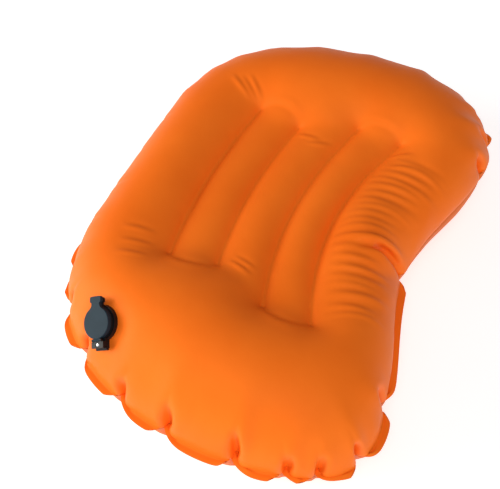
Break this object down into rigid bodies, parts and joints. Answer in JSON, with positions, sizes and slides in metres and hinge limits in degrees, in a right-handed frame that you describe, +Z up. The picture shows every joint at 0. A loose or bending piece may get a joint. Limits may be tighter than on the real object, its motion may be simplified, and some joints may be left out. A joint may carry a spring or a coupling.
{
  "type": "inflatable pillow",
  "caption": "Kidney-shaped inflatable camp pillow with a welded rim, raised end lobes, quilted middle rolls and a hinged double-lid air valve.",
  "frame": {"origin": "centre of the footprint, on the ground", "axes": "+X along the pillow's length, +Y from the neck hollow to the rounded back, +Z up"},
  "size_m": [0.4204, 0.2904, 0.1111],
  "materials": {
    "top_fabric": "satin",
    "bottom_fabric": "satin",
    "baffle_fabric": "matte",
    "valve_black": "satin",
    "valve_slate": "satin",
    "silicone": "matte",
    "rivet_metal": "satin"
  },
  "bodies": {
    "pillow": {"top_panel": "top_fabric", "bottom_panel": "bottom_fabric", "baffle_1": "baffle_fabric", "baffle_2": "baffle_fabric", "baffle_3": "baffle_fabric", "baffle_4": "baffle_fabric", "valve_base": "valve_black"},
    "stopper": {"stopper": "valve_black", "stopper_seal": "silicone", "flap_bracket": "valve_black", "lid_strap": "valve_slate", "strap_rivet": "rivet_metal"},
    "inflate_lid": {"inflate_lid": "valve_slate", "lid_seal": "silicone"},
    "check_flap": {"check_flap": "silicone"}
  },
  "joints": [
    {"name": "stopper_swing", "type": "hinge", "parent": "pillow", "child": "stopper", "pos_m": [-0.17593, 0.05881, 0.08203], "axis": [0.1997, -0.8415, 0.502], "range_deg": [0, 95]},
    {"name": "lid_swing", "type": "hinge", "parent": "stopper", "child": "inflate_lid", "pos_m": [-0.17439, 0.06321, 0.08879], "axis": [0.1997, -0.8415, 0.502], "range_deg": [0, 110]},
    {"name": "flap_swing", "type": "hinge", "parent": "stopper", "child": "check_flap", "pos_m": [-0.16467, 0.06296, 0.08451], "axis": [-0.1997, 0.8415, -0.502], "range_deg": [0, 35], "stiffness_Nm_per_rad": 0.002, "springref_deg": -11.46}
  ]
}
